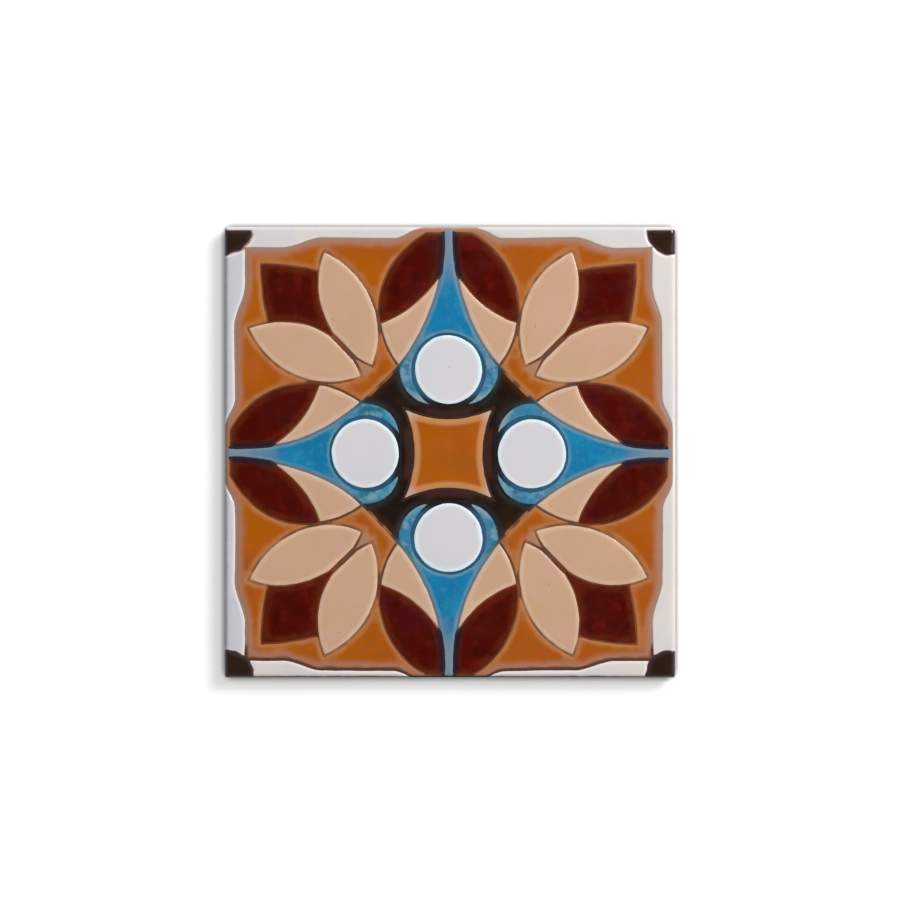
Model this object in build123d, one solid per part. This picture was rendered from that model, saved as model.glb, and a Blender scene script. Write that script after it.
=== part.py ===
from build123d import *
import os
from math import sqrt

# A square painted wall tile, fired as one piece: a clay slab with a rounded
# glazed face, keying grooves on its back, and a four-fold ornament whose glaze
# fields stand proud of the dry lines between them.
# Millimetres. The origin is the middle of the back, +Z is the glazed face.

# Slab
tile_side = 150.0
tile_thickness = 8.0
arris_radius = 1.5
edge_land = 3.5
back_setback = 0.8

# Keying grooves pressed into the back, all parallel to Y
groove_count = 8
groove_pitch = 15.0
groove_width = 7.0
groove_depth = 0.5
groove_rim = 12.0

# Ornament lines and the height of the glaze beside them
line_width = 0.8
glaze_relief = 0.35
smallest_field = 2.0

# Wavy border line, as distances from the tile's edge
border_margin = 3.5
border_margin_corner = 6.9
border_margin_middle = 1.9
corner_step_start = 33.0
corner_step_end = 19.0
middle_step_start = 19.0
middle_step_end = 11.5
corner_dot_radius = 9.8

# Star in the middle, with four hollow sides
star_reach = 15.4
star_side_distance = 11.9

# Drops along the axes: hollow sides, a slim neck with a blunt tip, a broad round end.
# Points of the ornament are given across and up from the middle of the tile.
drop_waist = 23.4
drop_side = (10.6, 38.0)
drop_neck = (3.9, 54.0)
drop_tip_half_width = 1.9
drop_end_distance = 16.1
drop_end_flat = 4.5
drop_end_turn = (13.6, 19.5)

# Disc in each drop, and the dark ring round it that broadens towards the star
disc_distance = 28.0
disc_radius = 11.7
ring_distance = 27.2
ring_radius = 12.3

# Leaves that lie against the drops
leaf_tip_offset = 3.0
leaf_belly = (23.3, 48.0)
leaf_end = 17.3
leaf_split_belly = (22.8, 43.6)
leaf_split_drop_side = (4.2, 57.6)
leaf_split_sagitta = 1.9

# Pair of petals in each corner, with a hollow-sided square between them
petal_tip = (41.7, 67.2)
petal_foot = (25.6, 29.0)
petal_outer_sagitta = 8.5
petal_inner_sagitta = 9.0
square_corner = 62.8
square_side_middle = (53.3, 62.2)
square_side_end = (44.6, 60.6)
square_root = 35.0

# Values that follow from the sizes above
half_side = tile_side / 2
half_line = line_width / 2
face_half = half_side - arris_radius
border_line = half_side - border_margin
border_line_corner = half_side - border_margin_corner
border_line_middle = half_side - border_margin_middle
drop_tip = (drop_tip_half_width, half_side)
waist_point = (drop_waist, drop_waist)
hollow_side = ThreePointArc(drop_neck, drop_side, waist_point)
hollow_reach = hollow_side.arc_center.X - leaf_end
shoulder = (leaf_end, hollow_side.arc_center.Y - sqrt(hollow_side.radius**2 - hollow_reach**2))


def grown(figure, amount):
    """The figure with its edge moved outwards, or inwards for a negative amount."""
    return offset(figure, amount=amount, kind=Kind.ARC)


def swapped(field):
    """The same field on the other side of the diagonal."""
    diagonal = Plane(origin=(0, 0, 0), x_dir=(1, 1, 0), z_dir=(1, -1, 0))
    return mirror(field, about=diagonal)


def make_slab():
    """The fired slab: glazed face, rounded arris, upright land and drawn-in back."""
    face_outline = Rectangle(tile_side, tile_side)
    back_outline = Rectangle(tile_side - 2 * back_setback, tile_side - 2 * back_setback)
    land_bottom = tile_thickness - arris_radius - edge_land
    upper = Pos(0, 0, land_bottom) * extrude(face_outline, amount=tile_thickness - land_bottom)
    lower = loft([back_outline.face(), (Pos(0, 0, land_bottom) * face_outline).face()])
    top_edges = upper.faces().sort_by(Axis.Z)[-1].edges()
    slab = fillet(top_edges, radius=arris_radius) + lower
    return slab


def make_back_grooves():
    """Shallow grooves with round ends that key the tile to its adhesive."""
    groove_length = tile_side - 2 * back_setback - 2 * groove_rim
    outline = SlotOverall(groove_length, groove_width, rotation=90)
    row = GridLocations(groove_pitch, groove_pitch, groove_count, 1)
    return extrude(Sketch() + [spot * outline for spot in row], amount=groove_depth)


def make_border(spread):
    """Area inside the wavy border line, with the line moved outwards by the spread."""
    middle = border_line_middle + spread
    straight = border_line + spread
    corner = border_line_corner + spread
    out_end = half_side - corner_step_end
    out_start = half_side - corner_step_start
    step_middle = (out_start + out_end) / 2
    rise_middle = (middle_step_start + middle_step_end) / 2
    half_edge = [
        Line((0, middle), (middle_step_end, middle)),
        Bezier(
            (middle_step_end, middle),
            (rise_middle, middle),
            (rise_middle, straight),
            (middle_step_start, straight),
        ),
        Line((middle_step_start, straight), (out_start, straight)),
        Bezier((out_start, straight), (step_middle, straight), (step_middle, corner), (out_end, corner)),
        Line((out_end, corner), (corner, corner)),
        Line((corner, corner), (corner, 0)),
        Line((corner, 0), (0, 0)),
        Line((0, 0), (0, middle)),
    ]
    eighth = make_face(half_edge)
    quarter = eighth + swapped(eighth)
    half = quarter + mirror(quarter, about=Plane.YZ)
    return half + mirror(half, about=Plane.XZ)


def make_star():
    """Four-pointed star with a hollow arc for each side."""
    hollow = star_reach - star_side_distance
    side_radius = (star_reach**2 + hollow**2) / (2 * hollow)
    star = Rectangle(2 * star_reach, 2 * star_reach)
    for quarter_turn in range(4):
        hollow_side = Pos(0, star_side_distance + side_radius) * Circle(side_radius)
        star -= Rot(0, 0, 90 * quarter_turn) * hollow_side
    return star


def make_arms():
    """Area between the four corners' outlines: the drops, the cross and the star."""
    right_side = [Line(drop_tip, drop_neck), hollow_side]
    base = [Line(waist_point, (0, drop_waist)), Line((0, drop_waist), (0, half_side))]
    right_half = make_face(right_side + base + [Line((0, half_side), drop_tip)])
    funnel = right_half + mirror(right_half, about=Plane.YZ)
    arms = Rectangle(2 * drop_waist, 2 * drop_waist)
    for turn in range(4):
        arms += Rot(0, 0, 90 * turn) * funnel
    return arms


def make_drop():
    """Drop on the upward axis: blunt tip at the tile's edge, broad round end beside the star."""
    end_start = (drop_end_flat, drop_end_distance)
    end_middle = (0, drop_end_distance)
    right_side = [
        Line(drop_tip, drop_neck),
        ThreePointArc(drop_neck, drop_side, shoulder),
        ThreePointArc(shoulder, drop_end_turn, end_start),
        Line(end_start, end_middle),
    ]
    right_half = make_face(right_side + [Line(end_middle, (0, half_side)), Line((0, half_side), drop_tip)])
    return right_half + mirror(right_half, about=Plane.YZ)


def make_leaf_whole():
    """Leaf and half petal together, between the leaf's arc and the drop's side."""
    tip = (leaf_tip_offset, half_side)
    outline = [
        ThreePointArc(tip, leaf_belly, shoulder),
        ThreePointArc(shoulder, drop_side, drop_neck),
        Line(drop_neck, drop_tip),
        Line(drop_tip, tip),
    ]
    return make_face(outline)


def make_leaf_split(spread):
    """Round area whose edge parts the dark leaf from the pale half petal below it."""
    parting = SagittaArc(leaf_split_belly, leaf_split_drop_side, leaf_split_sagitta)
    return Pos(parting.arc_center) * Circle(parting.radius + spread)


def make_petal():
    """Upper petal of a corner pair, cut off along the diagonal where it meets its twin."""
    outer = SagittaArc(petal_foot, petal_tip, petal_outer_sagitta)
    inner = SagittaArc(petal_tip, petal_foot, petal_inner_sagitta)
    beyond_diagonal = Polyline((0, 0), (half_side, half_side), (half_side, 0), close=True)
    return make_face([outer, inner]) - make_face(beyond_diagonal)


def make_square():
    """Dark square of a corner, with the part of it that the two petals cover."""
    corner = (square_corner, square_corner)
    root = (square_root, square_root)
    upper_side = [Line(root, square_side_end), ThreePointArc(square_side_end, square_side_middle, corner)]
    upper_half = make_face(upper_side + [Line(corner, root)])
    return upper_half + swapped(upper_half)


def make_corner_fields():
    """Glaze fields of the upper right corner, clear of the lines between them."""
    petal = make_petal()
    square = make_square()
    leaf_whole = make_leaf_whole()
    leaf_inside = grown(leaf_whole, -half_line)
    leaf = leaf_inside & make_leaf_split(-half_line)
    half_petal = leaf_inside - make_leaf_split(half_line)
    petal_stroke = grown(petal, half_line)
    leaf_stroke = grown(leaf_whole, half_line)
    quarter = Pos(half_side / 2, half_side / 2) * Rectangle(half_side, half_side)
    ground = (make_border(-half_line) & quarter) - grown(make_arms(), half_line)
    for stroke in (petal_stroke, leaf_stroke):
        ground = ground - stroke - swapped(stroke)
    ground -= grown(square, half_line)
    square_field = grown(square, -half_line) - petal_stroke - swapped(petal_stroke)
    fields = [piece for piece in ground.faces() if piece.area > smallest_field]
    fields += [piece for piece in square_field.faces() if piece.area > smallest_field]
    for field in (grown(petal, -half_line), leaf, half_petal):
        fields += [field, swapped(field)]
    return fields


def make_all_fields():
    """Every glaze field inside the border line."""
    star = make_star()
    drop = make_drop()
    drop_stroke = grown(drop, half_line)
    disc_field = Pos(0, disc_distance) * Circle(disc_radius - half_line)
    ring_stroke = Pos(0, ring_distance) * Circle(ring_radius + half_line)
    cross = grown(make_arms(), -half_line) - grown(star, half_line)
    for turn in range(4):
        cross = cross - Rot(0, 0, 90 * turn) * drop_stroke - Rot(0, 0, 90 * turn) * ring_stroke
    drop_field = grown(drop, -half_line) - ring_stroke
    fields = [grown(star, -half_line)]
    fields += [piece for piece in cross.faces() if piece.area > smallest_field]
    quarter = [drop_field, disc_field] + make_corner_fields()
    for turn in range(4):
        fields += [Rot(0, 0, 90 * turn) * field for field in quarter]
    return fields


def make_lines():
    """Recessed line work: what the border encloses beyond the glaze fields."""
    flat_face = Rectangle(2 * face_half, 2 * face_half)
    lines = make_border(half_line) & flat_face
    for field in make_all_fields():
        lines -= field
    ring = Circle(corner_dot_radius + half_line) - Circle(corner_dot_radius - half_line)
    for corner in GridLocations(tile_side, tile_side, 2, 2):
        lines += (corner * ring) & flat_face
    return lines


def make_tile():
    """The whole tile as one solid."""
    lines = make_lines()
    line_recess = Pos(0, 0, tile_thickness - glaze_relief) * extrude(lines, amount=glaze_relief)
    return make_slab() - make_back_grooves() - line_recess


os.makedirs("parts", exist_ok=True)
tile = make_tile()
tile.label = "tile"
export_step(tile, "parts/tile.step")
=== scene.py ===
import math

import bpy
import numpy as np
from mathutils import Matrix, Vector
from mathutils.geometry import delaunay_2d_cdt


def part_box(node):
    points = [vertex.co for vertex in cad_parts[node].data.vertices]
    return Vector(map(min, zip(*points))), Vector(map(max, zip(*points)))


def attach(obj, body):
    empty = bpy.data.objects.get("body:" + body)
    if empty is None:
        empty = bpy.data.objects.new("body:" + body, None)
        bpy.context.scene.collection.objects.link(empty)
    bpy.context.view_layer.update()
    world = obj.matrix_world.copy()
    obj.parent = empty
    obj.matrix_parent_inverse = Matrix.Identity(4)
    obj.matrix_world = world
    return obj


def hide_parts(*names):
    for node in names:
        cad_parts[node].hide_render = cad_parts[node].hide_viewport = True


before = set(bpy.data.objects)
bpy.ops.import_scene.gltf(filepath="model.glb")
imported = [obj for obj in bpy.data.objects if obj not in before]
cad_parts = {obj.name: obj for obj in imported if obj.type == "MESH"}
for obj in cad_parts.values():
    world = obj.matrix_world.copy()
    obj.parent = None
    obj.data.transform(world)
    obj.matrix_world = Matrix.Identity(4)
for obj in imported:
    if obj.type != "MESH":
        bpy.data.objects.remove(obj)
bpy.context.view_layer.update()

# Lengths below are millimetres unless a comment says otherwise.
MM = 0.001

# The slab, from the frame
slab_low, slab_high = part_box("tile")
HALF_SIDE = (slab_high.x - slab_low.x) / 2 / MM
TOP = slab_high.z / MM
ARRIS = 1.5
LAND_BOTTOM = 3.0
BACK_SETBACK = 0.8
PLAN_CORNER = 0.9

# Keying grooves in the back, as in the solid
GROOVE_COUNT = 8
GROOVE_PITCH = 15.0
GROOVE_WIDTH = 7.0
GROOVE_DEPTH = 0.5
GROOVE_RIM = 12.0

# Levels of the ornament: clay under it, dry lines, and the glaze fields above them
LINE_LEVEL = TOP - 0.24
BODY_LEVEL = LINE_LEVEL - 0.08
FIELD_FOOT = LINE_LEVEL - 0.05
FOOT_DEPTH = 0.05
MARGIN_RISE = 0.2
MENISCUS = 0.9
DOME_RISE = 0.05
DOME_LENGTH = 4.0
UNEVEN_RISE = 0.02
UNEVEN_LINE = 0.008

# White glaze on the sides: its skin on the clay, its hidden inner side, and its ragged lower lip
GLAZE_SKIN = 0.2
GLAZE_ROOT = 0.3
RIM_ROOT = 0.05
MARGIN_ROOT_DEPTH = 0.2
LIP_HEIGHT = 3.4
LIP_VARIATION = 0.35
LIP_FRAYED = 0.15

# Rounded edge of the back, and how far under it the floor reaches
BACK_ROUND = 0.3
FLOOR_UNDERLAP = 0.27

# How much wider a groove is at its lip, down its wall with the height there, and at its floor
GROOVE_LIP = 0.2
GROOVE_LEVELS = ((0.03, 0.1), (-0.03, GROOVE_DEPTH - 0.1))
GROOVE_FLOOR = -0.15

# Half the width of the lines, and how much the hand varies it, sways and trembles
HALF_LINE = 0.24
LINE_VARIATION = 0.03
SWAY = 0.2
TREMOR = 0.025

# Shares of that width beside maroon and at the border, which is broader and darker low down
MAROON_LINE_SHARE = 0.3
BORDER_LINE_SHARE = 0.9
LOWER_BORDER_EXTRA = 0.25
LOWER_BORDER = (60, 68)
LOW_BAND = (-66.0, -62.0)

# Where the hand-painted ornament sits on the slab, and its true size over its drawn one
DECOR_X = -0.47
DECOR_Y = -0.5
DECOR_WIDTH = 0.99
DECOR_HEIGHT = 1.001

# Ornament, in one quarter of the tile: across and up from the middle
STAR_REACH = 15.4
STAR_SIDE = 11.9
DROP_WAIST = 22.9
DROP_SIDE = (10.6, 38.0)
DROP_NECK = (3.9, 54.0)
DROP_TIP = (1.9, 75.0)
DROP_END_ASIDE = 5.5
DROP_END_UP = 27.6
DROP_END_RADIUS = 11.5
DROP_SHOULDER_UP = 29.2
DISC_UP = 28.0
DISC_RADIUS = 11.7
RING_UP = 27.5
RING_RADIUS = 12.25
LEAF_TIP = (3.0, 75.0)
LEAF_BELLY = (23.3, 48.0)
LEAF_END = (17.3, 29.6)
LEAF_SPLIT_BELLY = (22.8, 43.6)
LEAF_SPLIT_DROP = (4.2, 57.6)
LEAF_SPLIT_SAGITTA = 1.9
PETAL_TIP = (41.7, 67.2)
PETAL_FOOT = (25.6, 29.0)
PETAL_OUTER_SAGITTA = 8.5
PETAL_INNER_SAGITTA = 8.8
PETAL_PARTING = 0.5
SQUARE_CORNER = (62.8, 62.8)
SQUARE_MIDDLE = (53.3, 62.2)
SQUARE_SIDE_END = (44.6, 60.6)
SQUARE_ROOT = 35.0
BORDER_UP = 71.5
BORDER_UP_MIDDLE = 75.0
BORDER_UP_CORNER = 68.1
MIDDLE_STEP = (8.5, 18.5)
CORNER_STEP = (42.0, 56.0)
DOT_RADIUS = 9.8
DOT_SIDE_GAP = 0.1
DOT_TOP_GAP = 1.1
DOT_RAGGED = 0.55
DOT_FRAYED = 0.2
DOT_FIELD_GAP = 0.1
LEAST_MARGIN = 0.3
LEAF_CLEARANCE = 1.9
RING_OPEN = 5.2
SHEET_OVERLAP = 0.4
SHEET_MARGIN = 0.25

# Steps along outlines and over surfaces, and how far the points of a surface keep from its edge
GRID_STEP = 0.25
OUTLINE_SPACING = 0.4
RING_SPACING = 0.45
INNER_SPACING = 1.5
INNER_GAP = 0.7
SHEET_SPACING = 0.75
SHEET_GAP = 0.3
SHEET_FOOT_SPACING = 6
SHEET_FOOT_GAP = 0.5
MARGIN_GAP = 1.0
ARRIS_GAP = 0.12
EDGE_GAP = 0.05
RING_DEPTHS = (0.08, 0.22, 0.45, 0.8, 1.4)
SMALLEST_FIELD = 1.5
SIDE_POINTS = 190
CORNER_POINTS = 6
GROOVE_END_POINTS = 13
SHARP_ANGLE = 50

# The photograph's frame, in pixels, and where the tile lies in it
PHOTO_SIDE = 900
PHOTO_TILE_LEFT = 224.2
PHOTO_TILE_RIGHT = 675.8
PHOTO_TILE_TOP = 226.4
PHOTO_TILE_BOTTOM = 678.0

# Stage and light, in metres and watts, and the direction that the world is brightest in
FLOOR_REACH = 3.0
FLOOR_SHADE_REACH = 0.003
FLOOR_PAPER = 0.62
FLOOR_GLOW = 0.5
FLOOR_DULL = (0.42, 0.42, 0.42, 1)
KEY_SIZE = 0.7
KEY_ENERGY = 24.0
KEY_PLACE = (0.85, 0.72, 1.1)
BRIGHT_SIDE = (0.65, 0.76, 0)


def in_scene(name, data):
    """A new object of the scene."""
    thing = bpy.data.objects.new(name, data)
    bpy.context.scene.collection.objects.link(thing)
    return thing


def add_camera():
    """A long lens straight above the tile, with the tile where the photograph has it."""
    data = bpy.data.cameras.new("camera")
    camera = in_scene("camera", data)
    bpy.context.scene.camera = camera
    data.lens = 120
    data.sensor_width = 36
    pixels_per_mm = (PHOTO_TILE_RIGHT - PHOTO_TILE_LEFT) / (2 * HALF_SIDE)
    seen_width = PHOTO_SIDE / pixels_per_mm * MM
    distance = seen_width * data.lens / data.sensor_width
    tile_column = (PHOTO_TILE_LEFT + PHOTO_TILE_RIGHT) / 2
    tile_row = (PHOTO_TILE_TOP + PHOTO_TILE_BOTTOM) / 2
    aside = (PHOTO_SIDE / 2 - tile_column) / pixels_per_mm * MM
    upward = (tile_row - PHOTO_SIDE / 2) / pixels_per_mm * MM
    camera.location = (aside, upward, slab_high.z + distance)
    camera.rotation_euler = (0, 0, 0)
    data.clip_end = 20


add_camera()


# Plane figures as distances: negative inside, positive outside.


def circle(u, v, centre, radius):
    """Distance from a circle."""
    return np.hypot(u - centre[0], v - centre[1]) - radius


def circle_through(a, b, c):
    """Centre and radius of the circle through three points."""
    turn = 2 * (a[0] * (b[1] - c[1]) + b[0] * (c[1] - a[1]) + c[0] * (a[1] - b[1]))
    squares = [p[0] ** 2 + p[1] ** 2 for p in (a, b, c)]
    across = squares[0] * (b[1] - c[1]) + squares[1] * (c[1] - a[1]) + squares[2] * (a[1] - b[1])
    up = squares[0] * (c[0] - b[0]) + squares[1] * (a[0] - c[0]) + squares[2] * (b[0] - a[0])
    centre = (across / turn, up / turn)
    return centre, math.dist(centre, a)


def bulging_circle(start, end, sagitta):
    """Circle of an arc that bulges by the sagitta to the left of the way from start to end."""
    chord = math.dist(start, end)
    left = (-(end[1] - start[1]) / chord, (end[0] - start[0]) / chord)
    top = [(start[i] + end[i]) / 2 + left[i] * sagitta for i in range(2)]
    return circle_through(start, top, end)


def smooth_step(value, start, end):
    """0 up to the start, 1 from the end on, smooth between them."""
    share = np.clip((value - start) / (end - start), 0, 1)
    return share * share * (3 - 2 * share)


def waves(x, y, length, seed):
    """Smooth random value of about -1 to 1 that varies over the given length."""
    draw = np.random.default_rng(seed)
    total = np.zeros_like(x)
    count = 7
    for _ in range(count):
        angle = draw.uniform(0, 2 * math.pi)
        turn = 2 * math.pi / (length * draw.uniform(0.7, 1.5))
        start = draw.uniform(0, 2 * math.pi)
        total += np.sin((x * math.cos(angle) + y * math.sin(angle)) * turn + start)
    return total / math.sqrt(count)


STAR_HOLLOW = STAR_REACH - STAR_SIDE
STAR_RADIUS = (STAR_REACH**2 + STAR_HOLLOW**2) / (2 * STAR_HOLLOW)
DROP_SIDE_ARC = circle_through(DROP_NECK, DROP_SIDE, (DROP_WAIST, DROP_WAIST))
LEAF = circle_through(LEAF_TIP, LEAF_BELLY, LEAF_END)
LEAF_SPLIT = bulging_circle(LEAF_SPLIT_BELLY, LEAF_SPLIT_DROP, LEAF_SPLIT_SAGITTA)
PETAL_SIDES = [
    bulging_circle(PETAL_FOOT, PETAL_TIP, PETAL_OUTER_SAGITTA),
    bulging_circle(PETAL_TIP, PETAL_FOOT, PETAL_INNER_SAGITTA),
]
SQUARE_SIDE = circle_through(SQUARE_SIDE_END, SQUARE_MIDDLE, SQUARE_CORNER)
GROOVE_STRAIGHT = HALF_SIDE - BACK_SETBACK - GROOVE_RIM - GROOVE_WIDTH / 2


def beside_line(u, v, start, end):
    """Distance to the right of the line from start to end."""
    length = math.dist(start, end)
    return ((u - start[0]) * (end[1] - start[1]) - (v - start[1]) * (end[0] - start[0])) / length


def star(u, v):
    """Star in the middle, with hollow sides."""
    hollows = np.maximum(
        STAR_RADIUS - np.hypot(u, v - STAR_SIDE - STAR_RADIUS),
        STAR_RADIUS - np.hypot(v, u - STAR_SIDE - STAR_RADIUS),
    )
    return np.maximum(hollows, np.maximum(u, v) - STAR_REACH)


def beside_drop(u, v):
    """Area right of the upward drop, between its hollow side, its slim neck and its tip."""
    hollow = circle(u, v, *DROP_SIDE_ARC)
    neck = np.maximum(-beside_line(u, v, DROP_NECK, DROP_TIP), DROP_NECK[1] - v)
    return np.minimum(hollow, neck)


def between_drops(u, v):
    """The quarter's area outside both drops."""
    return np.where(v > u, beside_drop(u, v), beside_drop(v, u))


def drop(u, v):
    """Drop on the upward axis, with a broad round end."""
    aside = np.maximum(u - DROP_END_ASIDE, 0)
    round_end = np.hypot(aside, v - DROP_END_UP) - DROP_END_RADIUS
    return np.maximum(-between_drops(u, v), np.minimum(round_end, DROP_SHOULDER_UP - v))


def disc(u, v):
    """White disc in the upward drop."""
    return circle(u, v, (0, DISC_UP), DISC_RADIUS)


def ring(u, v):
    """Outer side of the dark ring round a disc, which is broader towards the star."""
    return circle(u, v, (0, RING_UP), RING_RADIUS)


def leaf_whole(u, v):
    """Dark leaf and pale half petal together, beside the upward drop and short of the border."""
    return largest(circle(u, v, *LEAF), between_drops(u, v), border(u, v) + LEAF_CLEARANCE)


def leaf_split(u, v):
    return circle(u, v, *LEAF_SPLIT)


def dark_leaf(u, v):
    """The part of the leaf that lies beyond the split."""
    return np.maximum(leaf_whole(u, v), leaf_split(u, v))


def petal(u, v, parting=0.0):
    """Upper petal of the corner, cut off along the diagonal, or as far short of it as said."""
    sides = [circle(u, v, *side) for side in PETAL_SIDES]
    return largest(*sides, (u - v) / math.sqrt(2) + parting)


def square(u, v):
    """Dark corner square, with two corners behind the petals."""
    sides = np.maximum(circle(u, v, *SQUARE_SIDE), circle(v, u, *SQUARE_SIDE))
    root = (SQUARE_ROOT, SQUARE_ROOT)
    hidden_end = (SQUARE_SIDE_END[0] - 2, SQUARE_SIDE_END[1])
    wedge = [-beside_line(a, b, root, hidden_end) for a, b in ((u, v), (v, u))]
    return largest(sides, *wedge, -both(petal, u, v))


def border(u, v):
    """Wavy line round the ornament."""

    def height(across):
        middle = (BORDER_UP_MIDDLE - BORDER_UP) * (1 - smooth_step(across, *MIDDLE_STEP))
        corner = (BORDER_UP - BORDER_UP_CORNER) * smooth_step(across, *CORNER_STEP)
        return BORDER_UP + middle - corner

    return np.maximum(v - height(u), u - height(v))


def plan(x, y, inset=0.0):
    """Distance from the slab's square outline, moved inwards by the inset."""
    reach = HALF_SIDE - inset - PLAN_CORNER
    over_x = np.abs(x) - reach
    over_y = np.abs(y) - reach
    outside = np.hypot(np.maximum(over_x, 0), np.maximum(over_y, 0))
    return outside + np.minimum(np.maximum(over_x, over_y), 0) - PLAN_CORNER


def both(figure, u, v):
    """The figure and its twin on the other side of the diagonal."""
    return np.minimum(figure(u, v), figure(v, u))


def largest(*distances):
    """Where all the figures overlap."""
    return np.max(distances, axis=0)


def folded(x, y):
    """Places on the tile as places in the ornament's quarter, with the hand's sway."""
    sway_x = SWAY * waves(x, y, 42, 11) + TREMOR * waves(x, y, 7, 12)
    sway_y = SWAY * waves(x, y, 42, 21) + TREMOR * waves(x, y, 7, 22)
    u = np.abs(x - DECOR_X + sway_x) / DECOR_WIDTH
    v = np.abs(y - DECOR_Y + sway_y) / DECOR_HEIGHT
    return u, v


def half_line(x, y):
    return HALF_LINE + LINE_VARIATION * waves(x, y, 9, 31)


def kept_in(distance, x, y):
    """The figure without what would run over the slab's edge."""
    return np.maximum(distance, plan(x, y, LEAST_MARGIN + 2 * HALF_LINE))


# The glaze fields of each colour, as areas of the slab


def ochre_fields(x, y):
    u, v = folded(x, y)
    ground = largest(
        border(u, v),
        between_drops(u, v),
        -both(leaf_whole, u, v),
        -both(petal, u, v),
        -square(u, v),
    )
    return kept_in(np.minimum(star(u, v), ground) + half_line(x, y), x, y)


def maroon_fields(x, y):
    """These run nearly up to the other fields, with only a hair line between."""
    u, v = folded(x, y)
    figures = np.minimum(both(dark_leaf, u, v), square(u, v))
    return kept_in(figures - MAROON_LINE_SHARE * half_line(x, y), x, y)


def sand_fields(x, y):
    u, v = folded(x, y)

    def half_petal(a, b):
        return np.maximum(leaf_whole(a, b), -leaf_split(a, b))

    def parted_petal(a, b):
        return petal(a, b, PETAL_PARTING)

    return np.minimum(both(half_petal, u, v), both(parted_petal, u, v)) + half_line(x, y)


def around_disc(u, v):
    """The drop without its disc and the ring round it."""
    return np.maximum(drop(u, v), -ring(u, v))


def blue_fields(x, y):
    u, v = folded(x, y)
    inside = np.maximum(both(around_disc, u, v), border(u, v))
    return kept_in(inside + half_line(x, y), x, y)


def white_fields(x, y):
    u, v = folded(x, y)
    return both(disc, u, v) + half_line(x, y)


def black_fields(x, y):
    """The cross between the drops, with the part of the rings that broadens beside the star."""
    u, v = folded(x, y)
    cross = largest(-between_drops(u, v), -star(u, v), -both(around_disc, u, v), -both(disc, u, v))
    open_ring = np.minimum(star(u, v) - RING_OPEN, -both(ring, u, v))
    inner_part = np.maximum(u, v) - 2 * DROP_WAIST
    return np.maximum(np.maximum(cross, open_ring) + half_line(x, y), inner_part)


def corner_dots(x, y):
    """Quarter dots at the tile's corners, a little ragged, clear of the slab's edge."""
    from_corner = np.hypot(np.abs(x) - HALF_SIDE, np.abs(y) - HALF_SIDE)
    ragged = DOT_RAGGED * waves(x, y, 14, 41) + DOT_FRAYED * waves(x, y, 4, 42)
    top_end = y - HALF_SIDE + DOT_TOP_GAP
    return largest(from_corner - DOT_RADIUS + ragged, plan(x, y, DOT_SIDE_GAP), top_end)


def dot_fields(x, y):
    return corner_dots(x, y) + DOT_FIELD_GAP


def ornament_distances(x, y):
    """Distances from the ornament's parts, which the materials read."""
    u, v = folded(x, y)
    return {
        "border": -border(u, v),
        "drop": both(drop, u, v),
        "disc": both(disc, u, v),
        "star": star(u, v),
        "leaf": both(leaf_whole, u, v),
        "maroon": np.minimum(both(dark_leaf, u, v), square(u, v)),
        "axis": np.minimum(u, v),
        "diagonal": np.abs(u - v) / math.sqrt(2),
    }


def ornament_area(x, y):
    """What the border line encloses. The line is broader along the lower edge."""
    u, v = folded(x, y)
    broader = LOWER_BORDER_EXTRA * smooth_step(-y, *LOWER_BORDER)
    line = BORDER_LINE_SHARE * half_line(x, y)
    return np.maximum(border(u, v) - line - broader, plan(x, y, LEAST_MARGIN))


def covered_area(x, y):
    """What the white margin leaves free."""
    return np.minimum(ornament_area(x, y), corner_dots(x, y))


def margin_area(x, y):
    return np.maximum(-covered_area(x, y), plan(x, y))


def sheet_area(x, y):
    """What the painted lines need under them, hidden at its edge by the margin."""
    return np.maximum(covered_area(x, y) - SHEET_OVERLAP, plan(x, y, SHEET_MARGIN))


def arris_drop(x, y):
    """How far the rounded arris lies below the flat face."""
    depth = np.clip(plan(x, y) + ARRIS, 0, ARRIS)
    return ARRIS - np.sqrt(ARRIS**2 - depth**2)


# Outlines of the areas, by marching over a grid

REACH = HALF_SIDE + 2 * GRID_STEP
AXIS = np.arange(-REACH, REACH + GRID_STEP / 2, GRID_STEP)
GRID_X, GRID_Y = np.meshgrid(AXIS, AXIS, indexing="ij")


def crossings(values, level):
    """Where the level cuts the grid's edges, by the direction and cell of each edge."""
    points = {}
    for direction, right, up in (("x", 1, 0), ("y", 0, 1)):
        here = values[: AXIS.size - right, : AXIS.size - up]
        there = values[right:, up:]
        columns, rows = np.nonzero((here > level) != (there > level))
        share = (level - here[columns, rows]) / (there[columns, rows] - here[columns, rows])
        for i, j, s in zip(columns.tolist(), rows.tolist(), share.tolist()):
            points[(direction, i, j)] = (AXIS[i] + s * right * GRID_STEP, AXIS[j] + s * up * GRID_STEP)
    return points


def cell_links(values, points):
    """For each crossing of zero, the crossings that it is joined to across a cell."""
    above = values > 0
    cells = above[:-1, :-1] * 1 + above[1:, :-1] * 2 + above[1:, 1:] * 4 + above[:-1, 1:] * 8
    links = {key: [] for key in points}
    for i, j in zip(*(axis.tolist() for axis in np.nonzero((cells > 0) & (cells < 15)))):
        low, right, up, left = ("x", i, j), ("y", i + 1, j), ("x", i, j + 1), ("y", i, j)
        crossed = [key for key in (low, right, up, left) if key in points]
        pairs = [tuple(crossed)]
        if len(crossed) == 4:
            middle = values[i : i + 2, j : j + 2].mean() > 0
            same = middle == bool(above[i, j])
            pairs = [(low, right), (up, left)] if same else [(low, left), (right, up)]
        for first, second in pairs:
            links[first].append(second)
            links[second].append(first)
    return links


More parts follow.
